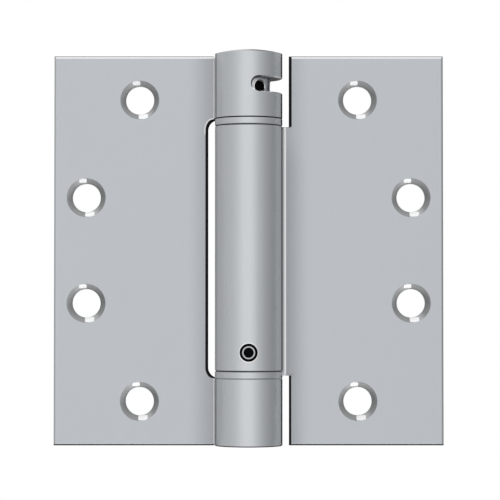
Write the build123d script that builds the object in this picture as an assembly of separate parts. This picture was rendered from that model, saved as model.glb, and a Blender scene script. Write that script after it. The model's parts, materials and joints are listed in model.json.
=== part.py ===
from build123d import *
import os
from math import acos, asin, cos, degrees, radians, sin, sqrt

# Spring hinge, lying flat open, in millimetres.
# The pin axis is Z, the countersunk faces look towards minus Y, and the frame leaf is on the minus X side.

# Leaves
leaf_height = 114.3
open_width = 114.3
leaf_thickness = 3.4
closed_gap = 1.6
edge_round = 0.7
screw_bore = 8.34
countersink_diameter = 11.4
countersink_angle = 82.0
inner_screw_from_edge = 25.15
inner_screw_spacing = 88.5
outer_screw_from_edge = 9.45
outer_screw_spacing = 31.0

# Knuckles, rolled from the leaves
barrel_diameter = 19.8
swage_radius = 0.9
curl_gap = 0.3
knuckle_chamfer = 0.2
window_gap = 2.0
window_corner = 3.1
notch_gap = 1.95
top_knuckle_length = 18.6
bottom_knuckle_length = 19.7
ring_thickness = 2.1
ring_relief = 0.35
web_drop = 1.5

# Crimped top of the top knuckle
rim_rise = 0.45
crown_height = 1.3
lip_opening = 10.4
lip_thickness = 1.2

# Fits
axial_gap = 0.12
running_clearance = 0.06
press_clearance = 0.02
wire_clearance = 0.2

# Tension slot and collar
slot_height = 4.3
slot_below_top = 9.0
slot_end_past_front = 0.9
slot_chamfer = 0.25
collar_clearance = 0.08
collar_boss_recess = 0.2
collar_hole = 3.3
collar_hole_depth = 2.4
collar_hole_chamfer = 0.4
collar_hole_count = 6
collar_hole_angle = 31.8
collar_hole_drop = 0.5
socket_across_flats = 6.35
socket_depth = 6.0

# Bearings
bearing_spigot = 4.6
bearing_journal = 2.3

# Spring and its anchor
spring_wire = 2.5
coil_gap = 0.12
coil_clearance = 0.45
hook_radius = 1.5
hook_overrun = 2.0
arbor_past_hook = 2.0
anchor_pin_above_knuckle_end = 5.4
anchor_pin_diameter = 3.9
anchor_pin_bore = 2.9
anchor_pin_length = 7.0
anchor_pin_recess = 0.1
anchor_hole_diameter = 5.0
anchor_hole_depth = 1.8
anchor_cover = 3.0

# Bottom plug
plug_length = 6.0
plug_chamfer = 0.6

# Levels and radii that follow from those sizes
top = leaf_height / 2
barrel_radius = barrel_diameter / 2
bore_radius = barrel_radius - leaf_thickness
face = closed_gap / 2
back = face + leaf_thickness
upper_ring_top = top - top_knuckle_length
upper_ring_bottom = upper_ring_top - ring_thickness
lower_ring_bottom = bottom_knuckle_length - top
lower_ring_top = lower_ring_bottom + ring_thickness
centre_knuckle_top = upper_ring_bottom - axial_gap
centre_knuckle_bottom = lower_ring_top + axial_gap
web_bottom = centre_knuckle_bottom - web_drop
slot_level = top - slot_below_top
anchor_pin_level = centre_knuckle_bottom + anchor_pin_above_knuckle_end
spigot_radius = bore_radius - press_clearance
journal_radius = bore_radius - running_clearance
coil_radius = bore_radius - coil_clearance - spring_wire / 2
arbor_radius = coil_radius - spring_wire / 2 - wire_clearance

# Domed top of the top knuckle, a shallow ball crimped in over the collar
rim_level = top + rim_rise
crown_radius = (barrel_radius**2 + crown_height**2) / (2 * crown_height)
lip_radius = lip_opening / 2


def crown_level(radius):
    return rim_level + crown_height - crown_radius + sqrt(crown_radius**2 - radius**2)


lip_top = crown_level(lip_radius)
lip_underside = lip_top - lip_thickness

# The sheet turns through a swage bend, whose centre stands off the barrel, into the knuckle.
# The knuckle runs round the front and ends behind the leaf, a curl gap short of the bend.
bend_distance = barrel_radius + swage_radius
bend_tilt = degrees(asin((swage_radius - face) / bend_distance))
bend_x = -bend_distance * cos(radians(bend_tilt))
bend_y = face - swage_radius
curl_reach = swage_radius + leaf_thickness + curl_gap
curl_cosine = (barrel_radius**2 + bend_distance**2 - curl_reach**2) / (2 * barrel_radius * bend_distance)
curl_sweep = 360 - degrees(acos(curl_cosine))

# Levels of the spring: as many whole turns as fit between the anchor and the upper bearing
anchor_bottom = lower_ring_top + bearing_journal + axial_gap
anchor_top = anchor_pin_level + anchor_pin_diameter / 2 + anchor_cover
coil_pitch = spring_wire + coil_gap
coil_bottom = anchor_top + wire_clearance + spring_wire / 2
coil_limit = upper_ring_bottom - bearing_journal - wire_clearance - spring_wire / 2
coil_turns = int((coil_limit - coil_bottom) / coil_pitch)
coil_top = coil_bottom + coil_turns * coil_pitch
hook_turn = degrees(acos(-hook_radius / (coil_radius - hook_radius)))
hook_slot = spring_wire + 2 * wire_clearance


def turned(points):
    """Solid of revolution about the pin axis, from corners given as radius and height."""
    return revolve(make_face(Plane.XZ * Polyline(*points, close=True)), Axis.Z)


def bar(radius, near, far, level):
    """Round bar along Y at a level on the front of the barrel."""
    return Pos(0, (near + far) / 2, level) * Rot(90, 0, 0) * Cylinder(radius, far - near)


def rolled(outline):
    """Knuckle rolled from the sheet, from its outline of radius and height."""
    return revolve(Rot(0, 0, 180 + bend_tilt) * make_face(Plane.XZ * outline), Axis.Z, curl_sweep)


def plain_knuckle(bottom, upper):
    inner = bore_radius + knuckle_chamfer
    outer = barrel_radius - knuckle_chamfer
    corners = [
        (bore_radius, bottom + knuckle_chamfer),
        (inner, bottom),
        (outer, bottom),
        (barrel_radius, bottom + knuckle_chamfer),
        (barrel_radius, upper - knuckle_chamfer),
        (outer, upper),
        (inner, upper),
        (bore_radius, upper - knuckle_chamfer),
    ]
    return rolled(Polyline(*corners, close=True))


def crimped_knuckle(bottom):
    """Top knuckle, whose end is domed and closes to a lip that keeps the collar in."""
    halfway = (barrel_radius + lip_radius) / 2
    dome = ThreePointArc(
        (barrel_radius, rim_level), (halfway, crown_level(halfway)), (lip_radius, lip_top)
    )
    sides = Polyline(
        (lip_radius, lip_top),
        (lip_radius, lip_underside),
        (bore_radius, lip_underside),
        (bore_radius, bottom + knuckle_chamfer),
        (bore_radius + knuckle_chamfer, bottom),
        (barrel_radius - knuckle_chamfer, bottom),
        (barrel_radius, bottom + knuckle_chamfer),
        (barrel_radius, rim_level),
    )
    return rolled(Curve() + [dome, sides])


def sheet():
    """Flat of a leaf and its swage bend at full height, with no knuckles yet."""
    outer_end = -open_width / 2
    inside = CenterArc((bend_x, bend_y), swage_radius, bend_tilt, 90 - bend_tilt)
    outside = CenterArc((bend_x, bend_y), swage_radius + leaf_thickness, bend_tilt, 90 - bend_tilt)
    section = make_face(
        [
            Polyline(inside @ 1, (outer_end, face), (outer_end, back), outside @ 1),
            outside,
            Line(outside @ 0, inside @ 0),
            inside,
        ]
    )
    return extrude(Pos(0, 0, -top) * section, leaf_height, dir=(0, 0, 1))


def cut_through(outline):
    """Cutter through the whole thickness of the hinge, from an outline seen from the front."""
    return extrude(Plane.XZ * outline, open_width, both=True)


def rounded_front(blank):
    """Blank with the edges round its front face rounded, as the press tool leaves them."""
    front = blank.faces().filter_by(Axis.Y).sort_by(Axis.Y)[0]
    rim = [edge for edge in front.edges() if edge.center().X < bend_x - edge_round / 2]
    return fillet(rim, edge_round)


def screw_holes():
    """Cutters for the four countersunk holes of a leaf."""
    bore = screw_bore / 2
    mouth = countersink_diameter / 2
    depth = (mouth - bore) / sin(radians(countersink_angle / 2)) * cos(radians(countersink_angle / 2))
    cutter = Rot(90, 0, 0) * Cylinder(bore, 4 * back)
    cutter += Pos(0, face + depth / 2, 0) * Rot(90, 0, 0) * Cone(bore, mouth, depth)
    rows = [(inner_screw_from_edge, inner_screw_spacing), (outer_screw_from_edge, outer_screw_spacing)]
    return [
        Pos(from_edge - open_width / 2, 0, side * spacing / 2) * cutter
        for from_edge, spacing in rows
        for side in (1, -1)
    ]


def ring_room(bottom, upper):
    """Cutter that keeps a web clear of the bearing rings."""
    return Pos(0, 0, (bottom + upper) / 2) * Cylinder(barrel_radius + ring_relief, upper - bottom)


def on_slot_mouth(edge):
    """Whether an edge runs round the tension slot on the outside of its knuckle."""
    middle = edge @ 0.5
    radius = sqrt(middle.X**2 + middle.Y**2)
    outside = middle.X > 0 and abs(radius - barrel_radius) < press_clearance
    return outside and abs(middle.Z - slot_level) < slot_height / 2 + press_clearance


def make_frame_leaf():
    window_edge = barrel_radius + window_gap
    window_height = upper_ring_top - lower_ring_bottom
    window = RectangleRounded(window_edge, window_height, window_corner)
    window = Pos(-window_edge / 2, (upper_ring_top + lower_ring_bottom) / 2) * window
    leaf = rounded_front(sheet() - cut_through(window))
    leaf -= ring_room(lower_ring_bottom, upper_ring_top)
    leaf -= screw_holes()
    leaf += crimped_knuckle(upper_ring_top)
    leaf += plain_knuckle(-top, lower_ring_bottom)
    slot_centre = slot_end_past_front + slot_height / 2
    slot = Pos(slot_centre, slot_level) * Circle(slot_height / 2)
    slot += Pos(slot_centre + barrel_radius, slot_level) * Rectangle(2 * barrel_radius, slot_height)
    leaf -= cut_through(slot)
    return chamfer([edge for edge in leaf.edges() if on_slot_mouth(edge)], slot_chamfer)


def make_door_leaf():
    """Right leaf, made on the left side and mirrored."""
    notch_edge = barrel_radius + notch_gap
    upper_notch = top - centre_knuckle_top
    lower_notch = web_bottom + top
    notches = Pos(-notch_edge / 2, top) * Rectangle(notch_edge, 2 * upper_notch)
    notches += Pos(-notch_edge / 2, -top) * Rectangle(notch_edge, 2 * lower_notch)
    leaf = rounded_front(sheet() - cut_through(notches))
    leaf -= ring_room(web_bottom, centre_knuckle_bottom)
    leaf -= screw_holes()
    leaf += plain_knuckle(centre_knuckle_bottom, centre_knuckle_top)
    in_front = -2 * barrel_radius
    leaf -= bar(anchor_hole_diameter / 2, in_front, anchor_hole_depth - barrel_radius, anchor_pin_level)
    leaf -= bar(anchor_pin_diameter / 2 + press_clearance, in_front, 0, anchor_pin_level)
    return mirror(leaf, about=Plane.YZ)


def make_bearing():
    """Flanged bush, its ring centred on the origin, spigot up and running journal down."""
    half_ring = ring_thickness / 2
    bearing_bore = arbor_radius + running_clearance
    return turned(
        [
            (bearing_bore, -half_ring - bearing_journal),
            (journal_radius, -half_ring - bearing_journal),
            (journal_radius, -half_ring),
            (barrel_radius - knuckle_chamfer, -half_ring),
            (barrel_radius, knuckle_chamfer - half_ring),
            (barrel_radius, half_ring - knuckle_chamfer),
            (barrel_radius - knuckle_chamfer, half_ring),
            (spigot_radius, half_ring),
            (spigot_radius, half_ring + bearing_spigot),
            (bearing_bore, half_ring + bearing_spigot),
        ]
    )


def hook_slot_cutter(end, bottom, upper):
    """Cross slot in an arbor for a spring hook, between two levels."""
    blade = Box(4 * arbor_radius, hook_slot, upper - bottom)
    return Pos(0, 0, (bottom + upper) / 2) * Rot(0, 0, -end * (hook_turn - 90)) * blade


def make_tension_collar():
    collar_radius = bore_radius - collar_clearance
    boss_radius = lip_radius - collar_clearance
    boss_top = lip_top - collar_boss_recess
    shoulder = lip_underside - axial_gap
    collar_bottom = upper_ring_top + bearing_spigot + axial_gap
    shank_bottom = coil_top - spring_wire / 2 - arbor_past_hook
    collar = turned(
        [
            (0, shank_bottom),
            (arbor_radius, shank_bottom),
            (arbor_radius, collar_bottom),
            (collar_radius, collar_bottom),
            (collar_radius, shoulder),
            (boss_radius, shoulder),
            (boss_radius, boss_top),
            (0, boss_top),
        ]
    )
    hexagon = RegularPolygon(socket_across_flats / 2, 6, major_radius=False)
    collar -= Pos(0, 0, boss_top - socket_depth) * extrude(hexagon, 2 * socket_depth)
    pin_radius = collar_hole / 2
    mouth = pin_radius + 2 * collar_hole_chamfer
    hole = Cylinder(pin_radius, 2 * collar_hole_depth)
    hole += Cone(pin_radius, mouth, 2 * collar_hole_chamfer)
    for number in range(collar_hole_count):
        turn = collar_hole_angle - 90 + number * 360 / collar_hole_count
        outward = Rot(0, 0, turn) * Rot(0, 90, 0) * Pos(0, 0, collar_radius)
        collar -= Pos(0, 0, slot_level - collar_hole_drop) * outward * hole
    slot_end = coil_top + hook_slot / 2
    return collar - hook_slot_cutter(1, shank_bottom, slot_end)


def make_torsion_spring():
    """Left-hand close-wound spring with a hook across the axis at each end."""
    coil = Helix(coil_pitch, coil_top - coil_bottom, coil_radius, center=(0, 0, coil_bottom), lefthand=True)

    def hook(end, onward):
        inward = Vector(-end.X, -end.Y, 0).normalized()

        def on_bend(turn):
            aside = inward * (1 - cos(radians(turn)))
            ahead = onward * sin(radians(turn))
            return end + (aside + ahead) * hook_radius

        bend = ThreePointArc(end, on_bend(hook_turn / 2), on_bend(hook_turn))
        heading = inward * sin(radians(hook_turn)) + onward * cos(radians(hook_turn))
        start = on_bend(hook_turn)
        to_axis = sqrt(start.X**2 + start.Y**2)
        return [bend, Line(start, start + heading * (to_axis + hook_overrun))]

    path = Wire([coil] + hook(coil @ 0, (coil % 0) * -1) + hook(coil @ 1, coil % 1))
    section = Plane(path @ 0, z_dir=path % 0) * Circle(spring_wire / 2)
    return sweep(section, path)


def make_spring_anchor():
    pintle_bottom = lower_ring_bottom - bearing_spigot
    arbor_top = coil_bottom + spring_wire / 2 + arbor_past_hook
    anchor = turned(
        [
            (0, pintle_bottom),
            (arbor_radius, pintle_bottom),
            (arbor_radius, anchor_bottom),
            (spigot_radius, anchor_bottom),
            (spigot_radius, anchor_top),
            (arbor_radius, anchor_top),
            (arbor_radius, arbor_top),
            (0, arbor_top),
        ]
    )
    pin_end = anchor_pin_length + anchor_pin_recess - barrel_radius
    anchor -= bar(anchor_pin_diameter / 2 + press_clearance, -2 * barrel_radius, pin_end, anchor_pin_level)
    return anchor - hook_slot_cutter(-1, anchor_top, arbor_top)


def make_anchor_pin():
    near = anchor_pin_recess - barrel_radius
    far = near + anchor_pin_length
    return bar(anchor_pin_diameter / 2, near, far, anchor_pin_level) - bar(
        anchor_pin_bore / 2, near, far, anchor_pin_level
    )


def make_bottom_plug():
    return turned(
        [
            (0, -top),
            (spigot_radius - plug_chamfer, -top),
            (spigot_radius, plug_chamfer - top),
            (spigot_radius, plug_length - top),
            (0, plug_length - top),
        ]
    )


bearing = make_bearing()
pieces = {
    "frame_leaf": make_frame_leaf(),
    "door_leaf": make_door_leaf(),
    "upper_bearing": Pos(0, 0, (upper_ring_top + upper_ring_bottom) / 2) * bearing,
    "lower_bearing": Pos(0, 0, (lower_ring_top + lower_ring_bottom) / 2) * Rot(180, 0, 0) * bearing,
    "tension_collar": make_tension_collar(),
    "torsion_spring": make_torsion_spring(),
    "spring_anchor": make_spring_anchor(),
    "anchor_pin": make_anchor_pin(),
    "bottom_plug": make_bottom_plug(),
}
os.makedirs("parts", exist_ok=True)
for name, piece in pieces.items():
    export_step(piece, f"parts/{name}.step")
    print(name, round(piece.volume, 1), "mm3")
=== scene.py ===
# %% [markdown]
# A spring hinge for a door.
# The real object is a square steel door hinge. Its barrel hides a torsion spring, so the door closes
# itself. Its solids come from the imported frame, in metres and in place. Z is the pin axis, the countersunk
# faces look towards minus Y, the frame leaf is on the minus X side, and both leaves lie flat open. The
# rolled knuckles, slot, collar, rings and pins are all in those solids, so they stay as they are. What this
# file adds is their finishes, the studio and the camera.

# %% Load the frame
import json
import math

import bmesh
import bpy
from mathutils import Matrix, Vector


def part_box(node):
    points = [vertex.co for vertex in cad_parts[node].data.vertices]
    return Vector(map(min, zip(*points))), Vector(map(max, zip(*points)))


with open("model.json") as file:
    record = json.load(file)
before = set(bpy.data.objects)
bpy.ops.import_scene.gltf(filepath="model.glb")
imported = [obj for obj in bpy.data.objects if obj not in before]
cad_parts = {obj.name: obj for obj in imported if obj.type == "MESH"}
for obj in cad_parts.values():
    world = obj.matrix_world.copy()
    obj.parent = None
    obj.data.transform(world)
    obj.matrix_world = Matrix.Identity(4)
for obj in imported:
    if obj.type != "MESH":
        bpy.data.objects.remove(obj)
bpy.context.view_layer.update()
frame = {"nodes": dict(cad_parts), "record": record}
scene = bpy.context.scene
MILLIMETRES = 1000


for node, solid in frame["nodes"].items():
    print(node, len(solid.data.polygons), "triangles")

# %% [markdown]
# Where the camera stands.
# The photograph is square and looks straight at the countersunk faces, through a long lens. The top of the
# barrel arches up and the slot shows the underside of its upper edge, so the lens is below the slot. The
# distance comes from the barrel, which is nearer to the lens than the leaves and looks a little larger. A
# focal length in pixels is turned into millimetres on Blender's 36 mm sensor, so nothing depends on the
# size of the render.

# %% Camera
PHOTO_PIXELS = 500
FOCAL_PIXELS = 2276
SENSOR_WIDTH = 36
LENS_PLACE = Vector((0.0, -0.667, -0.0189))
AIM = Vector((0.0004, 0.0, 0.0001))

camera_data = bpy.data.cameras.new("camera")
camera_data.sensor_width = SENSOR_WIDTH
camera_data.lens = SENSOR_WIDTH * FOCAL_PIXELS / PHOTO_PIXELS
camera = bpy.data.objects.new("camera", camera_data)
camera.location = LENS_PLACE
camera.rotation_euler = (AIM - LENS_PLACE).to_track_quat("-Z", "Y").to_euler()
scene.collection.objects.link(camera)
scene.camera = camera
tilt = math.degrees(camera.rotation_euler.x) - 90
print("lens", round(camera_data.lens, 1), "mm, tilted up", round(tilt, 2), "degrees")

# %% [markdown]
# Sums with sockets.
# A finish is a small program: where is this point, how far is it from an edge, how much grain is there.
# Adding and linking every node by hand hides that program, so two helpers are made first. The first, a
# Value, stands for one output socket, and sums written with it add the Math nodes. Most masks are smooth
# steps from 0 to 1, so it has a few words for those, too.

# %% A socket to calculate with
class Value:
    """One output socket. Arithmetic with it adds Math nodes to its tree."""

    def __init__(self, wiring, socket):
        self.wiring = wiring
        self.socket = socket

    def __getitem__(self, output):
        """Another output of the same node."""
        return Value(self.wiring, self.socket.node.outputs[output])

    def math(self, operation, *numbers):
        return self.wiring.add("Math", {"operation": operation}, dict(enumerate(numbers)))

    def __add__(self, other):
        return self.math("ADD", self, other)

    def __sub__(self, other):
        return self.math("SUBTRACT", self, other)

    def __rsub__(self, other):
        return self.math("SUBTRACT", other, self)

    def __mul__(self, other):
        return self.math("MULTIPLY", self, other)

    def __abs__(self):
        return self.math("ABSOLUTE", self)

    __radd__ = __add__
    __rmul__ = __mul__

    def at_least(self, other):
        return self.math("MAXIMUM", self, other)

    def at_most(self, other):
        return self.math("MINIMUM", self, other)

    def root(self):
        return self.math("SQRT", self)

    def rising(self, start, end):
        """0 up to start and 1 past end, with a smooth step between them."""
        ends = {"Value": self, "From Min": start, "From Max": end}
        return self.wiring.add("MapRange", {"interpolation_type": "SMOOTHSTEP"}, ends)

    def falling(self, start, end):
        return 1 - self.rising(start, end)

    def between(self, rise, fall):
        """Rises over the first pair of limits, and falls again over the second."""
        return self.rising(*rise) * self.falling(*fall)

    def past(self, level, blur=0.1):
        """0 below a level and 1 above it, blurred so far to both sides."""
        return self.rising(level - blur, level + blur)

    def before(self, level, blur=0.1):
        return 1 - self.past(level, blur)


print("sums with sockets are ready")

# %% [markdown]
# One method for every node.
# The second helper, a Wiring, holds the node tree of a material or of the world. Its add method makes any
# node: the type, then the settings, because some of them change which sockets there are, and then the
# sockets. Colours and vectors have two methods of their own, because a Math node would turn a colour grey.

# %% A node tree to fill
class Wiring:
    """The node tree of a material or of the world, emptied and ready to wire."""

    def __init__(self, owner):
        owner.use_nodes = True
        self.tree = owner.node_tree
        self.tree.nodes.clear()

    def add(self, kind, settings=None, sockets=None, output=0):
        node = self.tree.nodes.new("ShaderNode" + kind)
        for key, setting in (settings or {}).items():
            if key == "stops":
                self.set_stops(node.color_ramp, setting)
            else:
                setattr(node, key, setting)
        for key, value in (sockets or {}).items():
            if isinstance(value, Value):
                self.tree.links.new(value.socket, node.inputs[key])
            else:
                node.inputs[key].default_value = value
        return Value(self, node.outputs[output]) if node.outputs else None

    @staticmethod
    def set_stops(ramp, stops):
        while len(ramp.elements) > 1:
            ramp.elements.remove(ramp.elements[-1])
        for number, (position, grey) in enumerate(stops):
            stop = ramp.elements[0] if number == 0 else ramp.elements.new(position)
            stop.position = position
            stop.color = (grey, grey, grey, 1)

    def mixed(self, share, first, second):
        """A colour that goes from first to second. One that is written out has three numbers."""
        first, second = (end if isinstance(end, Value) else (*end, 1) for end in (first, second))
        return self.add("Mix", {"data_type": "RGBA"}, {0: share, 6: first, 7: second}, output=2)

    def times(self, vector, factor):
        """A colour or a vector, multiplied by one number."""
        return self.add("VectorMath", {"operation": "SCALE"}, {0: vector, "Scale": factor})


print("node trees are ready")

# %% [markdown]
# The room.
# The background of the photograph is pure white. A lit backdrop would throw more light on the hinge, so
# here the world is the background. It gives white to the camera and to reflections alike, at a strength of
# one, and a softer grey to everything that is lit by it. The Light Path node tells the two apart.

# %% World
WORLD_LIGHT = 0.6
WHITE = (1, 1, 1, 1)


def seen(wiring):
    """1 for what the camera sees, also in a mirror or through glass, and 0 for what only gives light."""
    path = wiring.add("LightPath")
    return path["Is Camera Ray"].at_least(path["Is Glossy Ray"]).at_least(path["Is Transmission Ray"])


world = bpy.data.worlds.new("white_room")
scene.world = world
wiring = Wiring(world)
strength = WORLD_LIGHT + seen(wiring) * (1 - WORLD_LIGHT)
background = wiring.add("Background", None, {"Color": WHITE, "Strength": strength})
wiring.add("OutputWorld", None, {"Surface": background})
scene.view_settings.view_transform = "Standard"
print("world is white, lighting at", WORLD_LIGHT)

# %% [markdown]
# The floor.
# The hinge hangs clear of a plain pale floor, which is out of the camera's view here and shows in views
# from above. Part of its white is its own glow and part is reflected light, so that it stays white and
# still takes a shadow.

# %% Floor
FLOOR_LEVEL = -0.60
FLOOR_RADIUS = 1.15
FLOOR_SEGMENTS = 96
FLOOR_GLOW = 0.55
FLOOR_PAINT = (0.6, 0.6, 0.6, 1)


def add_stage_piece(name, mesh_builder, material):
    """A mesh of the studio, which is no part of the hinge."""
    shape = bmesh.new()
    mesh_builder(shape)
    mesh = bpy.data.meshes.new(name)
    shape.to_mesh(mesh)
    shape.free()
    mesh.materials.append(material)
    piece = bpy.data.objects.new(name, mesh)
    scene.collection.objects.link(piece)
    return piece


def floor_shape(shape):
    bmesh.ops.create_circle(shape, cap_ends=True, segments=FLOOR_SEGMENTS, radius=FLOOR_RADIUS)
    for corner in shape.verts:
        corner.co.z = FLOOR_LEVEL


floor_material = bpy.data.materials.new("pale_floor")
wiring = Wiring(floor_material)
glow = wiring.add("Emission", None, {"Color": WHITE, "Strength": seen(wiring) * FLOOR_GLOW})
paint = wiring.add("BsdfDiffuse", None, {"Color": FLOOR_PAINT})
both = wiring.add("AddShader", None, {0: glow, 1: paint})
wiring.add("OutputMaterial", None, {"Surface": both})
add_stage_piece("floor", floor_shape, floor_material)

# %% [markdown]
# The light tent.
# Steel has no colour of its own beyond a tint: it shows what stands round it. A round bar in a plain white
# room would look flat, so product photographers stand it in a tent of paler and darker cloth. This tent is
# a ring of glowing cloth, brightest behind the camera and greyer towards the sides, so that the barrel gets
# a pale band down its middle and dark sides. A colour ramp holds the tones by their angle. Behind the
# hinge, to the right, hangs a dark band of cloth at eye level. The right side of the barrel turns away from
# the camera there, so the band gives it a dark outline. Only the reflection of the tent is seen, never the
# cloth itself.

# %% Tent
TENT_RADIUS = 1.2
TENT_TOP = 0.9
TENT_SEGMENTS = 128


def tent_shape(shape):
    for segment in range(TENT_SEGMENTS):
        corners = []
        for step, level in ((0, FLOOR_LEVEL), (1, FLOOR_LEVEL), (1, TENT_TOP), (0, TENT_TOP)):
            turn = 2 * math.pi * (segment + step) / TENT_SEGMENTS
            place = Vector((TENT_RADIUS * math.cos(turn), TENT_RADIUS * math.sin(turn), level))
            corners.append(shape.verts.new(place))
        shape.faces.new(corners)


tent_material = bpy.data.materials.new("tent_cloth")
tent = add_stage_piece("tent", tent_shape, tent_material)
tent.visible_camera = False
print("tent stands", TENT_RADIUS, "m from the pin axis")

# %% Cloth of the tent, its tones by the angle from the camera
TENT_TONES = [
    (-180, 0.75),
    (-150, 0.60),
    (-130, 0.55),
    (-104, 0.63),
    (-95, 0.57),
    (-84, 0.64),
    (-58, 0.70),
    (-40, 0.79),
    (-18, 0.98),
    (8, 0.99),
    (39, 0.66),
    (62, 0.49),
    (87, 0.39),
    (128, 0.45),
    (140, 0.50),
    (180, 0.75),
]
BAND_COLOUR = (0.03, 0.03, 0.03)
BAND_TURN = (141, 147)
BAND_LOW = (-0.22, -0.14)
BAND_HIGH = (0.50, 0.62)
DEGREES = 180 / math.pi

wiring = Wiring(tent_material)
place = wiring.add("SeparateXYZ", None, {0: wiring.add("TexCoord")["Object"]})
turn = place.math("ARCTAN2", place["X"], 0 - place["Y"]) * DEGREES
stops = [((angle + 180) / 360, tone) for angle, tone in TENT_TONES]
cloth = wiring.add("ValToRGB", {"stops": stops}, {"Fac": turn * (1 / 360) + 0.5})
band = turn.rising(*BAND_TURN) * place["Z"].between(BAND_LOW, BAND_HIGH)
banded = wiring.mixed(band, cloth, BAND_COLOUR)
glow = wiring.add("Emission", None, {"Color": banded, "Strength": 1.0})
wiring.add("OutputMaterial", None, {"Surface": glow})
print("tent has", len(TENT_TONES), "tones round it")

# %% [markdown]
# The black cloth.
# The lower edges of the leaves are rounded and look nearly black, and the upper ones are pale. A strip of
# black cloth just above the floor gives part of the first, because a rounded edge that faces down shows the
# floor; the rest is painted shade on the rim, and the pale upper edges are a painted highlight.
# The camera doesn't see it and it throws no shadow, so the floor still looks plain.

# %% Black cloth
CLOTH_LEVEL = -0.58
CLOTH_FRONT = -0.42
CLOTH_BACK = 0.50
CLOTH_HALF_WIDTH = 0.9
CLOTH_COLOUR = (0.01, 0.01, 0.01, 1)


def cloth_shape(shape):
    corners = [
        (-CLOTH_HALF_WIDTH, CLOTH_FRONT),
        (CLOTH_HALF_WIDTH, CLOTH_FRONT),
        (CLOTH_HALF_WIDTH, CLOTH_BACK),
        (-CLOTH_HALF_WIDTH, CLOTH_BACK),
    ]
    shape.faces.new([shape.verts.new((x, y, CLOTH_LEVEL)) for x, y in corners])


cloth_material = bpy.data.materials.new("black_cloth")
wiring = Wiring(cloth_material)
weave = wiring.add("BsdfDiffuse", None, {"Color": CLOTH_COLOUR})
wiring.add("OutputMaterial", None, {"Surface": weave})
cloth_strip = add_stage_piece("black_cloth", cloth_shape, cloth_material)
cloth_strip.visible_camera = False
cloth_strip.visible_shadow = False
print("black cloth lies", round((CLOTH_LEVEL - FLOOR_LEVEL) * MILLIMETRES), "mm above the floor")

# %% [markdown]
# The lamps.
# The polished steel shows the tent, but the matt places, such as the countersinks, need light that falls on
# them. Two soft lamps give it, one overhead and a little to the left, one below and to the right. Their own
# reflections would leave bright patches on the barrel, so they are hidden from the camera and from
# reflections.

# %% Lamps
LAMPS = {
    "overhead_lamp": {"place": (-0.165, -0.15, 0.75), "turn": 0.0, "size": (0.32, 0.16), "brightness": 16},
    "lower_lamp": {"place": (0.12, -0.10, -0.55), "turn": math.pi, "size": (0.24, 0.12), "brightness": 27},
}

for name, facts in LAMPS.items():
    width, depth = facts["size"]
    lamp_data = bpy.data.lights.new(name, "AREA")
    lamp_data.shape = "RECTANGLE"
    lamp_data.size = width
    lamp_data.size_y = depth
    lamp_data.energy = facts["brightness"] * math.pi * width * depth
    lamp = bpy.data.objects.new(name, lamp_data)
    lamp.location = facts["place"]
    lamp.rotation_euler = (facts["turn"], 0, 0)
    lamp.visible_camera = False
    lamp.visible_glossy = False
    scene.collection.objects.link(lamp)
    print(name, "gives", round(lamp_data.energy, 2), "W")

# %% [markdown]
# Brushed steel, first as a helper.
# All the pieces are steel, and they differ in tone, gloss and the way they were brushed or turned. The grain
# of a brush is noise stretched along the stroke. It is finer than a pixel of the photograph, so there it
# only softens the reflection, and close up it shows as strokes. A wide, faint cloud of noise keeps the
# plating from being perfectly even. A metal turns into a mirror when it is seen at a grazing angle, however
# dark its colour is. Oiled seams, bare cut edges and places darkened with painted shade don't, so there the
# metal gives way to a matt coat with no gloss at all.

# %% Steel helpers
CLOUD_PER_MM = 0.045
NOISE_MEAN = 0.5
BUMP_DISTANCE = 0.00005


def steel(name):
    """A material, its wiring, and the point on the piece in millimetres, as a vector and taken apart."""
    material = bpy.data.materials.new(name)
    wiring = Wiring(material)
    point = wiring.times(wiring.add("TexCoord")["Object"], MILLIMETRES)
    place = wiring.add("SeparateXYZ", None, {0: point})
    return material, wiring, point, place


def brushed(wiring, point, stroke):
    """Noise from 0 to 1, so many times per millimetre along each axis."""
    stretched = wiring.add("VectorMath", {"operation": "MULTIPLY"}, {0: point, 1: stroke})
    return wiring.add("TexNoise", None, {"Vector": stretched, "Scale": 1.0, "Detail": 3.0, "Roughness": 0.6})


def cloudy(wiring, point):
    return wiring.add("TexNoise", None, {"Vector": point, "Scale": CLOUD_PER_MM, "Detail": 2.0})


def finish_steel(wiring, colour, roughness, matt, grain, grain_depth):
    """Ends the wiring in a metal with a fine bump, which is matt and no mirror where that mask says so."""
    bump = wiring.add("Bump", None, {"Height": grain, "Strength": grain_depth, "Distance": BUMP_DISTANCE})
    sockets = {"Base Color": colour, "Metallic": 1 - matt, "Roughness": roughness, "Normal": bump}
    sockets["Specular IOR Level"] = 0.0
    wiring.add("OutputMaterial", None, {"Surface": wiring.add("BsdfPrincipled", None, sockets)})


print("steel helpers are ready")

# %% [markdown]
# The zones of a leaf.
# Each leaf is one sheet: a flat plate, rolled at one side into its knuckles. The distance from the pin axis
# tells plate and knuckles apart. The plate's edges are rounded by the press. The rim of that rounding, where
# it turns into the cut face, is darkened with painted shade, most at the top and bottom, and a painted
# highlight runs along the upper edge in front of it. A mask for each of these is one or two sums, which is
# easier to change than a painted picture.

# %% Leaf zones, sizes in millimetres
def box_of(node):
    """Lowest and highest corner of a solid, in millimetres."""
    return [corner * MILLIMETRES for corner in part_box(node)]


LEAF_REACH = -box_of("frame_leaf")[0].x
LEAF_FACE = 0.8
EDGE_ROUND = 0.7
BEND_FADE = 0.25
RIM = (EDGE_ROUND * 0.25, EDGE_ROUND * 0.4)
UPPER_RIM_EXTRA = 0.03
LOWER_RIM_EXTRA = 0.08
# Tones that the painted shade leaves on the rim at the top and at the bottom.
TOP_RIM_TONE = 0.05
BOTTOM_RIM_TONE = 0.04
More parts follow.
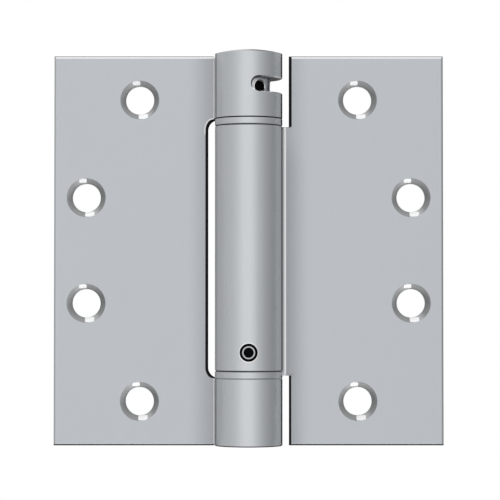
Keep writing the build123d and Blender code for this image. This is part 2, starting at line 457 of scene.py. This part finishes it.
# Where the painted highlight along the upper edge lies.
UPPER_HIGHLIGHT_BAND = (EDGE_ROUND - 0.12, EDGE_ROUND + 0.05)


def length(first, second):
    return (first * first + second * second).root()


def leaf_ends(place):
    """Masks of the rounded upper and lower edges of a leaf."""
    start = LEAF_REACH - EDGE_ROUND
    end = LEAF_REACH - EDGE_ROUND / 2
    return place["Z"].rising(start, end), (0 - place["Z"]).rising(start, end)


def leaf_zones(place, bend_reach):
    """Distance from the pin axis, and masks of the flat plate, its rounded edges and the rim of those."""
    radius = length(place["X"], place["Y"])
    plate = radius.rising(bend_reach, bend_reach + BEND_FADE)
    inset = LEAF_REACH - abs(place["X"]).at_least(abs(place["Z"]))
    edge = inset.before(EDGE_ROUND) * plate
    upper, lower = leaf_ends(place)
    rim_inset = inset - upper * UPPER_RIM_EXTRA - lower * LOWER_RIM_EXTRA
    rim = rim_inset.falling(*RIM) * plate * place["Y"].before(LEAF_FACE + EDGE_ROUND)
    return radius, plate, edge, rim


def rim_shade(place, side_tone):
    """How much painted shade darkens the rim: at the top, at the bottom and at the sides of a leaf."""
    upper, lower = leaf_ends(place)
    sides = (1 - upper - lower) * (1 - side_tone)
    return upper * (1 - TOP_RIM_TONE) + lower * (1 - BOTTOM_RIM_TONE) + sides


def upper_edge_highlight(place, plate):
    """A painted highlight along the rounded upper edge of a leaf."""
    return (LEAF_REACH - place["Z"]).falling(*UPPER_HIGHLIGHT_BAND) * plate


print("a leaf reaches", round(LEAF_REACH, 2), "mm from the pin axis")

# %% [markdown]
# Beside the barrel.
# Between plate and knuckle lies the bend, with a thin painted highlight along it. Next to it, on the
# knuckle, a line of painted shade lies in the corner. The two sides of the barrel, where the polishing belt
# hardly reached, are duller than its front. Each of them is a strip between two distances from the pin axis,
# two depths along Y, or two limits along X. Thin strips of mesh could show them too, but would stand proud
# of the steel, so they are masks.

# %% Lines beside the barrel
LEFT = -1
RIGHT = 1
BARREL_RADIUS = box_of("upper_bearing")[1].x
KNUCKLE_SKIN = (BARREL_RADIUS + 0.02, BARREL_RADIUS + 0.08)
BEND_START = (BARREL_RADIUS + 0.02, BARREL_RADIUS + 0.1)
BEND_END_FADE = 0.15
BESIDE_PLATE = (9.0, 9.1)
DEPTH_BLUR = 0.2
LEFT_FLANK = (6.0, 7.8)
LEFT_FLANK_MATT = 0.6
RIGHT_FLANK = (7.0, 8.5)
RIGHT_FLANK_END = (9.4, 9.6)
RIGHT_FLANK_MATT = 0.45


def bend_highlight(radius, end):
    """A painted highlight along the bend between the barrel and the plate, out to that distance from the pin
    axis.
    """
    return radius.between(BEND_START, (end, end + BEND_END_FADE))


def corner_line(place, radius, side, first, last):
    """A line along the knuckle's surface next to the plate, between two depths."""
    beside_plate = (place["X"] * side).rising(*BESIDE_PLATE)
    depth = place["Y"].past(first, DEPTH_BLUR) * place["Y"].before(last, DEPTH_BLUR)
    return radius.falling(*KNUCKLE_SKIN) * beside_plate * depth


def flanks(place, radius):
    """The two sides of the barrel, as far as they are dull."""
    left = (0 - place["X"]).rising(*LEFT_FLANK) * LEFT_FLANK_MATT
    right = place["X"].between(RIGHT_FLANK, RIGHT_FLANK_END) * RIGHT_FLANK_MATT
    return radius.falling(*KNUCKLE_SKIN) * (left + right)


print("the barrel's radius is", round(BARREL_RADIUS, 2), "mm")

# %% [markdown]
# Distances as masks.
# Many of the other masks are distances: from a level, or from a rounded rectangle, which has a simple rule
# of its own. A band of any width then follows the shape round its corners.

# %% Distance rules
NEAR_CORE = 0.7


def distance_from_box(across, along, half_width, half_height, corner):
    """Distance outside a rectangle with rounded corners, which is centred on the origin."""
    reach_across = abs(across) - (half_width - corner)
    reach_along = abs(along) - (half_height - corner)
    outside = length(reach_across.at_least(0), reach_along.at_least(0))
    return outside + reach_across.at_least(reach_along).at_most(0) - corner


def near(level, height, reach):
    """1 close to a level, and 0 further from it than reach."""
    return abs(height - level).falling(reach * NEAR_CORE, reach)


print("distance rules are ready")

# %% [markdown]
# The countersinks.
# The four countersinks of each leaf were cut after the brushing. They are matt and a neutral grey, darkened
# with painted shade that grows a little towards the right, and each has two small painted highlights: one at
# the top, a little to the left, and a larger one at the bottom, a little to the right. On its outer side
# each highlight fades into a patch of painted light, where the cone is paler. In the photograph they are
# reflections of lamps. A countersink as steep as this one shows the camera its own opposite wall, so here
# they are pale matt marks that the lamps light. The record says where the screws are, and a loop adds up the
# masks of all of them.

# %% Countersinks
COUNTERSINK = 5.7
COUNTERSINK_BLUR = 0.06
COUNTERSINK_FLOOR = (2.56, 2.76)
# Painted shade on the countersinks: darker overall, and more so towards the right.
CONE_SHADE = 0.24
CONE_SHADE_PER_MM = 0.02
# Each countersink's two painted highlights; the last number is how much painted light makes the cone paler
# beside them.
UPPER_MARK = {"out": 4.99, "half_width": 1.09, "half_height": 0.58, "polish": 0.27}
LOWER_MARK = {"out": 4.8, "half_width": 1.36, "half_height": 0.76, "polish": 0.45}
MARK_ASIDE = 1.0
MARK_CORNER = 0.3
HALVES_BLUR = 0.5
LIGHT_REACH = 2.5
LIGHT_BLUR = 1.0


def screw_places(side):
    """Where the screws of the leaf on that side are, along X and Z."""
    places = []
    for mount in frame["record"]["mounts"]:
        reach = mount["pos_m"][0] * MILLIMETRES
        if mount["kind"] == "bolt_pattern" and reach * side > 0:
            height = mount["dims"]["spacing_y_mm"] / 2
            places += [(reach, height), (reach, -height)]
    return places


def countersink_marks(across, above):
    """Distance from the painted highlight in this half of a countersink, and how much painted light makes
    the cone paler beside it.
    """
    upper = above.past(0, HALVES_BLUR)
    mark = {key: low + upper * (UPPER_MARK[key] - low) for key, low in LOWER_MARK.items()}
    aside = across * above.math("SIGN", above) + MARK_ASIDE
    out = abs(above) - mark["out"]
    from_mark = distance_from_box(aside, out, mark["half_width"], mark["half_height"], MARK_CORNER)
    painted_light = from_mark.falling(0, LIGHT_REACH) * aside.before(0, LIGHT_BLUR) * mark["polish"]
    return from_mark, painted_light


def countersinks(place, side):
    """Masks of all countersinks of a leaf: where they are, their painted shade, and their painted
    highlights.
    """
    sloping = place["Y"].falling(*COUNTERSINK_FLOOR)
    inside = shade = marks = 0
    for reach, level in screw_places(side):
        across = place["X"] - reach
        above = place["Z"] - level
        cone = length(across, above).before(COUNTERSINK, COUNTERSINK_BLUR) * sloping
        from_mark, painted_light = countersink_marks(across, above)
        inside = cone + inside
        # Painted shade, lifted where the painted light beside a highlight lies.
        shade = cone * (CONE_SHADE + across * CONE_SHADE_PER_MM - painted_light) + shade
        marks = cone * from_mark.before(0) + marks
    return inside, shade, marks


print("countersinks in the two leaves:", [len(screw_places(side)) for side in (LEFT, RIGHT)])

# %% [markdown]
# The window and the seams of the frame leaf.
# The cut edge that faces the barrel, all along the window of the frame leaf, is almost black in the
# photograph, and here it is painted almost black as painted shade. The seams beside the rings are dark
# joints, some of them faintly, and the chamfer at the lower end of the barrel is painted dark as painted
# shade. The rule for a rounded rectangle lets the dark band follow the window round its corners, where it
# gets narrower towards the barrel. The backs of the leaves stay plain.

# %% Window and seams
UPPER_RING_LEVEL = 37.5
LOWER_RING_LEVEL = -36.4
RING_HALF_HEIGHT = 1.05
WINDOW_TOP = UPPER_RING_LEVEL + RING_HALF_HEIGHT
WINDOW_BOTTOM = LOWER_RING_LEVEL - RING_HALF_HEIGHT
WINDOW_EDGE = BARREL_RADIUS + 2.0
WINDOW_CORNER = 3.1
# Widths of the painted shade along the cut edges of the window and the notches.
EDGE_BAND = 0.8
NARROW_BAND = 0.35
SEAM_BAND = 0.22
FAINT_SEAM = 0.3
END_BAND = 0.35
END_RIM = (BARREL_RADIUS - 0.3, BARREL_RADIUS - 0.2)
BARREL_SKIN = (BARREL_RADIUS + 0.05, BARREL_RADIUS + 0.1)
OFF_BARREL = (BARREL_RADIUS + 0.1, BARREL_RADIUS + 0.25)
LEAF_BACK = 4.2
BACK_FADE = (LEAF_BACK - 0.2, LEAF_BACK - 0.05)


def before_back(place):
    """1 in front of the back of the leaves, which stays plain."""
    return place["Y"].falling(*BACK_FADE)


def on_barrel(radius):
    return radius.falling(*BARREL_SKIN)


def window_band(place, radius, extra):
    """A band along the window's edge, narrower towards the barrel, and by so much wider than usual."""
    middle = (WINDOW_TOP + WINDOW_BOTTOM) / 2
    half_height = (WINDOW_TOP - WINDOW_BOTTOM) / 2
    beyond = distance_from_box(place["X"], place["Z"] - middle, WINDOW_EDGE, half_height, WINDOW_CORNER)
    width = NARROW_BAND + abs(place["X"]).rising(BARREL_RADIUS, WINDOW_EDGE) * (EDGE_BAND - NARROW_BAND)
    return (beyond - width - extra).before(0) * radius.rising(*OFF_BARREL) * before_back(place)


def frame_leaf_seams(place, radius):
    """The ends of the two knuckles beside the rings, and the chamfer at the lower end of the barrel."""
    upper = near(WINDOW_TOP, place["Z"], SEAM_BAND)
    lower = near(WINDOW_BOTTOM, place["Z"], SEAM_BAND) * FAINT_SEAM
    # The chamfer at the lower end of the barrel is painted dark: painted shade.
    end = near(-LEAF_REACH, place["Z"], END_BAND) * radius.rising(*END_RIM)
    return upper.at_least(lower).at_least(end) * on_barrel(radius)


print("the window is", round(WINDOW_TOP - WINDOW_BOTTOM, 2), "mm high")

# %% [markdown]
# The tension slot.
# A pin goes through this slot into the collar to tension the spring. Its walls are painted dark as painted
# shade, and its chamfer shows two things at once: a painted shadow as a dark crescent at the upper left, and
# a painted highlight as a pale lip along the lower side. The chamfer is real geometry. The two tones could
# come from small lamps, but those would mark the barrel as well, so they are a mask by how far up and to the
# left a point lies.

# %% Slot
SLOT_LEVEL = 48.15
SLOT_HALF_HEIGHT = 2.15
SLOT_END = 0.9
SLOT_CHAMFER = 0.25
# Painted shade on the slot's walls, and a painted shadow in the crescent of its chamfer.
SLOT_WALL = (0.08, 0.16)
SLOT_WALL_DARK = 0.75
UNDER_CHAMFER = (BARREL_RADIUS - SLOT_CHAMFER - 0.1, BARREL_RADIUS - SLOT_CHAMFER)
MOUTH_END = (SLOT_CHAMFER - 0.02, SLOT_CHAMFER + 0.08)
CRESCENT = (0.5, 1.3)
CRESCENT_DARK = 0.9
# Where the painted highlight along the slot's lower lip lies.
LIP_START = (-3.3, -2.7)
LIP_END = (0.3, 0.8)


def from_slot(place):
    """Distance outside the slot, which starts at a round end and runs out of the side of the barrel."""
    half_length = BARREL_RADIUS
    across = place["X"] - (SLOT_END + half_length)
    above = place["Z"] - SLOT_LEVEL
    return distance_from_box(across, above, half_length, SLOT_HALF_HEIGHT, SLOT_HALF_HEIGHT)


def slot_mouth(place, radius):
    """The chamfer round the slot, and how far up and left of the slot's round end a point lies."""
    mouth = from_slot(place).falling(*MOUTH_END) * on_barrel(radius)
    up_left = place["Z"] - SLOT_LEVEL - place["X"] + SLOT_END + SLOT_HALF_HEIGHT
    return mouth, up_left * math.sqrt(0.5)


def slot_shade(place, radius):
    """Painted shade on the walls of the slot, and a painted shadow in the crescent of its chamfer."""
    wall = from_slot(place).falling(*SLOT_WALL) * (radius.falling(*UNDER_CHAMFER) * SLOT_WALL_DARK)
    mouth, up_left = slot_mouth(place, radius)
    return wall.at_least(mouth * up_left.rising(*CRESCENT) * CRESCENT_DARK)


# A painted highlight along the lower lip of the slot's chamfer.
def slot_lip_highlight(place, radius):
    mouth, up_left = slot_mouth(place, radius)
    return mouth * up_left.between(LIP_START, LIP_END)


print("the slot's chamfer is", SLOT_CHAMFER, "mm wide")

# %% [markdown]
# All lines of the frame leaf.
# Two rules gather what is dark and what is bright on this leaf. Round the upper corner of the window the
# dark band has a border of painted highlight: the same band, drawn a little wider and lying under the dark
# one.

# %% Dark and bright lines of the frame leaf
# A line of painted shade on the frame leaf's knuckle, in the corner beside the plate.
SHADE_LINE_DEPTHS = (-3.1, -1.6)
SHADE_LINE_DARK = 0.75
# A painted highlight along the frame leaf's bend, and on the knuckle beside it.
FRAME_BEND_END = 10.3
FRAME_BEND_DEPTHS = (-1.5, 1.2)
FRAME_BEND_BRIGHT = 0.8
# A painted highlight as a border round the window's upper corner.
HIGHLIGHT_EXTRA = 0.3
HIGHLIGHT_START = (WINDOW_TOP - 5.0, WINDOW_TOP - 3.5)
HIGHLIGHT_BRIGHT = 0.75


# Painted shade along the window, in the slot and in the corner beside the knuckle, with the dark seams.
def frame_leaf_dark(place, radius):
    edges = window_band(place, radius, 0).at_least(frame_leaf_seams(place, radius))
    shade_line = corner_line(place, radius, LEFT, *SHADE_LINE_DEPTHS) * SHADE_LINE_DARK
    return edges.at_least(slot_shade(place, radius)).at_least(shade_line)


# Painted highlights: the slot's lip, the bend, and the border round the window's upper corner.
def frame_leaf_bright(place, radius):
    on_knuckle = corner_line(place, radius, LEFT, *FRAME_BEND_DEPTHS)
    bend = bend_highlight(radius, FRAME_BEND_END).at_least(on_knuckle) * FRAME_BEND_BRIGHT
    upper_corner = window_band(place, radius, HIGHLIGHT_EXTRA) * place["Z"].rising(*HIGHLIGHT_START) * HIGHLIGHT_BRIGHT
    return slot_lip_highlight(place, radius).at_least(bend).at_least(upper_corner)


print("the bend of the frame leaf ends", FRAME_BEND_END, "mm from the pin axis")

# %% [markdown]
# The notches of the door leaf.
# This leaf has a notch above and one below its long knuckle, with cut edges painted as dark as the window's,
# as painted shade. In the photograph the lower band is the narrower one. Between the notches a web joins
# plate and knuckle. Its lower edge, which no polishing reached, is dull. Each band is a limit along X,
# because these edges are straight.

# %% Notches, seams and web of the door leaf
RING_GAP = 0.12
UPPER_NOTCH = UPPER_RING_LEVEL - RING_HALF_HEIGHT - RING_GAP
LOWER_NOTCH = -36.73
LOWER_NOTCH_NARROWER = 0.17
NOTCH_EDGE = BARREL_RADIUS + 1.95
CENTRE_KNUCKLE_END = LOWER_RING_LEVEL + RING_HALF_HEIGHT + RING_GAP
SEAM_DARK = 0.65
WEB_EDGE_START = (-0.3, -0.2)
WEB_EDGE_END = (EDGE_ROUND, EDGE_ROUND + 0.15)
WEB_START = (BARREL_RADIUS + 0.3, BARREL_RADIUS + 0.4)
WEB_END = (13.0, 13.5)
WEB_MATT = 0.7


def notch_bands(place):
    """Painted shade on the cut edges of the two notches. The band of the lower one is narrower."""
    above = place["Z"].past(UPPER_NOTCH)
    below = place["Z"].before(LOWER_NOTCH)
    beside = (place["X"] + below * LOWER_NOTCH_NARROWER).before(NOTCH_EDGE + EDGE_BAND)
    return beside * (above + below) * before_back(place)


def door_leaf_seams(place, radius):
    """The two ends of the long knuckle, beside the rings."""
    upper = near(UPPER_NOTCH, place["Z"], SEAM_BAND / 2)
    lower = near(CENTRE_KNUCKLE_END, place["Z"], SEAM_BAND)
    return upper.at_least(lower) * on_barrel(radius) * SEAM_DARK


def web_edge(place):
    on_edge = (place["Z"] - LOWER_NOTCH).between(WEB_EDGE_START, WEB_EDGE_END)
    return on_edge * place["X"].between(WEB_START, WEB_END) * WEB_MATT


print("the notches end", round(NOTCH_EDGE, 2), "mm from the pin axis")

# %% [markdown]
# All lines of the door leaf.
# Low on the long knuckle is the hole of the anchor pin, with a gap round the pin painted dark as painted
# shade, and a ring of painted highlight outside it. Two rules then gather what is dark and what is bright on
# this leaf, as for the other one.

# %% Dark and bright lines of the door leaf
# A line of painted shade on the door leaf's knuckle, in the corner beside the plate.
DOOR_CORNER_DEPTHS = (-2.65, 1.2)
DOOR_CORNER_DARK = 0.85
# A painted highlight along the door leaf's bend.
DOOR_BEND_END = 10.8
DOOR_BEND_BRIGHT = 0.65
IN_FRONT = (-1.0, 0.0)
ANCHOR_PIN_LEVEL = sum(corner.z for corner in box_of("anchor_pin")) / 2
ANCHOR_HOLE_RADIUS = 2.58
# Painted shade in the gap round the anchor pin, and a ring of painted highlight outside it.
GAP_END = (ANCHOR_HOLE_RADIUS, ANCHOR_HOLE_RADIUS + 0.1)
HALO_END = (ANCHOR_HOLE_RADIUS + 0.25, ANCHOR_HOLE_RADIUS + 0.35)
HALO_BRIGHT = 0.8


def from_anchor_pin(place):
    return length(place["X"], place["Z"] - ANCHOR_PIN_LEVEL)


def round_anchor_pin(place, end):
    """A round patch on the front of the barrel, with the anchor pin in its middle."""
    return from_anchor_pin(place).falling(*end) * place["Y"].falling(*IN_FRONT)


# Painted shade on the notch edges, in the gap round the anchor pin and in the corner beside the knuckle,
# with the dark seams.
def door_leaf_dark(place, radius):
    edges = notch_bands(place).at_least(door_leaf_seams(place, radius))
    corner = corner_line(place, radius, RIGHT, *DOOR_CORNER_DEPTHS) * DOOR_CORNER_DARK
    return edges.at_least(round_anchor_pin(place, GAP_END)).at_least(corner)


# Painted highlights: the bend and the ring round the anchor pin's hole.
def door_leaf_bright(place, radius):
    halo = round_anchor_pin(place, HALO_END) * on_barrel(radius) * HALO_BRIGHT
    return (bend_highlight(radius, DOOR_BEND_END) * DOOR_BEND_BRIGHT).at_least(halo)


print("the anchor pin is at", round(ANCHOR_PIN_LEVEL, 2), "mm along the pin axis")

# %% [markdown]
# Satin plating.
# The flat of a leaf was brushed and plated and looks a little greyer than the knuckles, whose outside was
# drawn smooth; their lighter colour also stands in partly for the brighter light on the front of the barrel,
# as painted light. Over the last millimetres beside the barrel the plate is darkened with painted shade,
# where the barrel shades the corner. Both leaves take the same plating, and one function makes it from the
# masks above: the tone first, then the colours in layers, from the plain steel up to the dark lines, which
# hide all the others.

# %% Plating of a leaf
PLATE_COLOUR = (0.559, 0.585, 0.617)
# The knuckles' lighter colour stands in partly for the brighter light on the front of the barrel: painted
# light.
KNUCKLE_COLOUR = (0.612, 0.637, 0.66)
FLANK_COLOUR = (0.56, 0.573, 0.587)
CUT_COLOUR = (0.40, 0.408, 0.412)
# The first of the next two colours is that of all painted highlights; the second is that of painted shade
# and of the dark seams.
BRIGHT = (0.95, 0.955, 0.96)
DARK = (0.015, 0.015, 0.016)
PLATE_ROUGHNESS = 0.40
KNUCKLE_ROUGHNESS = 0.21
EDGE_ROUGHNESS = 0.22
STROKE = (9.0, 9.0, 0.12)
STROKE_TONE = 0.06
STROKE_DEPTH = 0.25
CLOUD_TONE = 0.04
CLOUD_ROUGHNESS = 0.04
# Where the painted shade beside the barrel ends.
CORNER_REACH = 18.5


def leaf_finish(
    name, side, bend_reach, side_tone, painted_corner_shade, dark_lines, bright_lines, dull_lines=None
):
    """Satin plating for the leaf on that side of the pin."""
    material, wiring, point, place = steel(name)
    radius, plate, edge, rim = leaf_zones(place, bend_reach)
    cones, cone_shade, marks = countersinks(place, side)
    grain = brushed(wiring, point, STROKE)
    cloud = cloudy(wiring, point) - NOISE_MEAN
    # Painted shade: the plate grows darker towards the barrel, in the corner that the barrel shades.
    corner = radius.falling(BARREL_RADIUS, CORNER_REACH) * plate
    tone = 1 + (grain - NOISE_MEAN) * STROKE_TONE + cloud * CLOUD_TONE
    tone = tone * (1 - corner * painted_corner_shade(place)) * (1 - cone_shade)
    # Painted shade on the rim of the rounded edges.
    tone = tone * (1 - rim * rim_shade(place, side_tone))

    dull = flanks(place, radius)
    if dull_lines:
        dull = dull.at_least(dull_lines(place))
    # A painted highlight along the upper edge, except on the rim.
    upper_highlight = upper_edge_highlight(place, plate) * (1 - rim)
    # The countersinks' marks are painted highlights as well.
    bright = bright_lines(place, radius).at_least(upper_highlight).at_least(marks)
    dark = dark_lines(place, radius)
    colour = wiring.mixed(plate, KNUCKLE_COLOUR, PLATE_COLOUR)
    colour = wiring.mixed(dull, colour, FLANK_COLOUR)
    colour = wiring.mixed(cones.at_least(rim), colour, CUT_COLOUR)
    colour = wiring.mixed(bright, wiring.times(colour, tone), BRIGHT)
    colour = wiring.mixed(dark, colour, DARK)

    roughness = KNUCKLE_ROUGHNESS + plate * (PLATE_ROUGHNESS - KNUCKLE_ROUGHNESS)
    roughness = roughness + edge * (EDGE_ROUGHNESS - PLATE_ROUGHNESS) + cloud * CLOUD_ROUGHNESS
    matt = dark.at_least(cones).at_least(rim).at_least(dull)
    finish_steel(wiring, colour, roughness, matt, grain, STROKE_DEPTH)
    return material


print("the dull corner ends", CORNER_REACH, "mm from the pin axis")

# %% [markdown]
# The two leaf materials.
# Each leaf adds its own dark and bright lines and its own painted shade in the corner beside the barrel.
# Beside the upper notch the corner of the door leaf is open and light comes through the notch, so there its
# painted shade fades by a part. One material for both would need a switch between all these, so the function
# is called twice.

# %% Leaf materials
# How strong the painted shade in the corner beside the barrel is on each leaf.
FRAME_CORNER_SHADE = 0.275
DOOR_CORNER_SHADE = 0.36
DOOR_CORNER_FADE = (22.0, 38.0)
DOOR_CORNER_FADED = 0.4


def frame_leaf_corner_shade(place):
    return FRAME_CORNER_SHADE


def door_leaf_corner_shade(place):
    return (1 - place["Z"].rising(*DOOR_CORNER_FADE) * DOOR_CORNER_FADED) * DOOR_CORNER_SHADE


# The side tone of each leaf is the tone that painted shade leaves on the rims at its sides.
frame_leaf_finish = leaf_finish(
    "frame_leaf_satin",
    side=LEFT,
    bend_reach=10.25,
    side_tone=0.9,
    painted_corner_shade=frame_leaf_corner_shade,
    dark_lines=frame_leaf_dark,
    bright_lines=frame_leaf_bright,
)
door_leaf_finish = leaf_finish(
    "door_leaf_satin",
    side=RIGHT,
    bend_reach=10.9,
    side_tone=0.5,
    painted_corner_shade=door_leaf_corner_shade,
    dark_lines=door_leaf_dark,
    bright_lines=door_leaf_bright,
    dull_lines=web_edge,
)
for finish in (frame_leaf_finish, door_leaf_finish):
    print(finish.name, "has", len(finish.node_tree.nodes), "nodes")

# %% [markdown]
# Turned steel.
# The two rings of the barrel are flanges of turned bushes, and the collar, the pin and the plugs were
# turned too. The grain of a lathe runs round the axis: it changes with height and with distance from the
# axis, and not along the turn. Noise of those two numbers gives just that, with no picture wrapped round
# the piece.

# %% Turned finish
TURNS_PER_MM = 7.0
TURNED_TONE = 0.12
TURNED_CLOUD_TONE = 0.05
TURNED_ROUGHNESS_CHANGE = 0.08
TURNED_DEPTH = 0.15


def turned_finish(name, colour, roughness, dark_parts=None, bright_parts=None, matt_parts=None):
    """Steel turned in a lathe. Rules of place and radius say which parts of it are dark, bright or matt."""
    material, wiring, point, place = steel(name)
    radius = length(place["X"], place["Y"])
    turns = {"X": radius * TURNS_PER_MM, "Y": place["Z"] * TURNS_PER_MM}
    grain_place = wiring.add("CombineXYZ", None, turns)
    grain = wiring.add("TexNoise", None, {"Vector": grain_place, "Scale": 1.0, "Detail": 3.0})
    cloud = cloudy(wiring, point) - NOISE_MEAN
    tone = 1 + (grain - NOISE_MEAN) * TURNED_TONE + cloud * TURNED_CLOUD_TONE
    colour = wiring.times(colour, tone)
    matt = 0
    if bright_parts:
        colour = wiring.mixed(bright_parts(place, radius), colour, BRIGHT)
    if matt_parts:
        matt = matt_parts(place, radius)
        colour = wiring.mixed(matt, colour, FLANK_COLOUR)
    if dark_parts:
        dark = dark_parts(place, radius)
        colour = wiring.mixed(dark, colour, DARK)
        matt = dark.at_least(matt)
    roughness = roughness + (grain - NOISE_MEAN) * TURNED_ROUGHNESS_CHANGE
    finish_steel(wiring, colour, roughness, matt, grain, TURNED_DEPTH)
    return material


print("turned steel has", TURNS_PER_MM, "strokes to the millimetre")

# %% [markdown]
# The rings and the collar.
# The edges of the rings lie in the seams of the barrel, where oil stays, so they get dark lines at the same
# levels as the leaves. The collar shows through the slot. Its holes are painted dark inside as painted
# shade, and their chamfers carry a painted highlight. All holes are alike, so one rule turns a point back to
# the nearest of them and measures from its axis.

# %% Ring and collar finishes
TURNED_COLOUR = (0.60, 0.615, 0.635)
COLLAR_ROUGHNESS = 0.24
COLLAR_RADIUS = box_of("tension_collar")[1].x
COLLAR_HOLE_LEVEL = 47.65
COLLAR_HOLE_ANGLE = -58.2
COLLAR_HOLE_STEP = 60
COLLAR_HOLE_RADIUS = 1.65
HOLE_WALL = (COLLAR_HOLE_RADIUS, COLLAR_HOLE_RADIUS + 0.06)
BELOW_RIM = (COLLAR_RADIUS - 0.16, COLLAR_RADIUS - 0.08)
CHAMFER_RADIUS = COLLAR_HOLE_RADIUS + 0.4
CHAMFER_END = (CHAMFER_RADIUS - 0.06, CHAMFER_RADIUS + 0.02)


def ring_seams(place, radius):
    """The upper seam of the upper ring is the darkest."""
    top = near(UPPER_RING_LEVEL + RING_HALF_HEIGHT, place["Z"], SEAM_BAND)
    under = near(UPPER_RING_LEVEL - RING_HALF_HEIGHT, place["Z"], SEAM_BAND)
    lower = near(LOWER_RING_LEVEL + RING_HALF_HEIGHT, place["Z"], SEAM_BAND)
    return top.at_least(under.at_least(lower) * SEAM_DARK)


def from_collar_hole(place, radius):
    """Distance from the axis of the nearest of the collar's holes."""
    turn = place.math("ARCTAN2", place["Y"], place["X"]) * DEGREES
    steps = (turn - COLLAR_HOLE_ANGLE) * (1 / COLLAR_HOLE_STEP)
    past_hole = steps - steps.math("ROUND", steps)
    aside = radius * past_hole.math("SINE", past_hole * math.radians(COLLAR_HOLE_STEP))
    return length(aside, place["Z"] - COLLAR_HOLE_LEVEL)


# Painted shade inside the collar's holes.
def collar_holes(place, radius):
    return from_collar_hole(place, radius).falling(*HOLE_WALL) * radius.falling(*BELOW_RIM)


# A painted highlight on the chamfers of the collar's holes.
def collar_chamfers(place, radius):
    return from_collar_hole(place, radius).falling(*CHAMFER_END)


ring_finish = turned_finish(
    "ring_steel", KNUCKLE_COLOUR, KNUCKLE_ROUGHNESS, dark_parts=ring_seams, matt_parts=flanks
)
collar_finish = turned_finish(
    "collar_steel", TURNED_COLOUR, COLLAR_ROUGHNESS, dark_parts=collar_holes, bright_parts=collar_chamfers
)
print("rings and collar have their steel")

# %% [markdown]
# The anchor pin and what is inside.
# The end of the anchor pin is a grey ring with a dark bore in it and a dark edge round it. Through the bore
# a bit of the anchor plug shows, which is as good as black there. Soft light would leave so small a hole
# grey, so its wall and floor are darkened by their distance from the pin's own axis. The end plug is plain
# turned steel. The spring inside is oil-tempered wire, dark blue-grey.

# %% Finishes of the pin, the plugs and the spring
PIN_COLOUR = (0.50, 0.512, 0.528)
SPRING_COLOUR = (0.13, 0.13, 0.145)
TURNED_ROUGHNESS = 0.28
SPRING_ROUGHNESS = 0.38
PIN_BORE = 1.47
PIN_EDGE = 1.9
BORE_WALL = (PIN_BORE - 0.02, PIN_BORE + 0.06)
BORE_FLOOR_DARK = 0.94
EDGE_SHADOW = (PIN_EDGE - 0.08, PIN_EDGE)


def pin_bore(place, radius):
    return from_anchor_pin(place).falling(*BORE_WALL)


def below_bore(place, radius):
    return pin_bore(place, radius) * BORE_FLOOR_DARK


def pin_shadows(place, radius):
    return pin_bore(place, radius).at_least(from_anchor_pin(place).rising(*EDGE_SHADOW))


pin_finish = turned_finish("pin_steel", PIN_COLOUR, TURNED_ROUGHNESS, dark_parts=pin_shadows)
anchor_finish = turned_finish("anchor_steel", TURNED_COLOUR, TURNED_ROUGHNESS, dark_parts=below_bore)
plug_finish = turned_finish("turned_steel", TURNED_COLOUR, TURNED_ROUGHNESS)
spring_finish = turned_finish("spring_wire", SPRING_COLOUR, SPRING_ROUGHNESS)
print("the pin's bore is", 2 * PIN_BORE, "mm wide")

# %% [markdown]
# Finishes for the solids.
# The shapes of the solids are right, so none of them is replaced. Each only trades its plain material for
# its finish, and the two rings share theirs.

# %% Give every solid its finish
FINISHES = {
    "frame_leaf": frame_leaf_finish,
    "door_leaf": door_leaf_finish,
    "upper_bearing": ring_finish,
    "lower_bearing": ring_finish,
    "tension_collar": collar_finish,
    "torsion_spring": spring_finish,
    "spring_anchor": anchor_finish,
    "anchor_pin": pin_finish,
    "bottom_plug": plug_finish,
}
for node, finish in FINISHES.items():
    solid = frame["nodes"][node]
    solid.data.materials.clear()
    solid.data.materials.append(finish)
print(len(FINISHES), "solids have their finish")
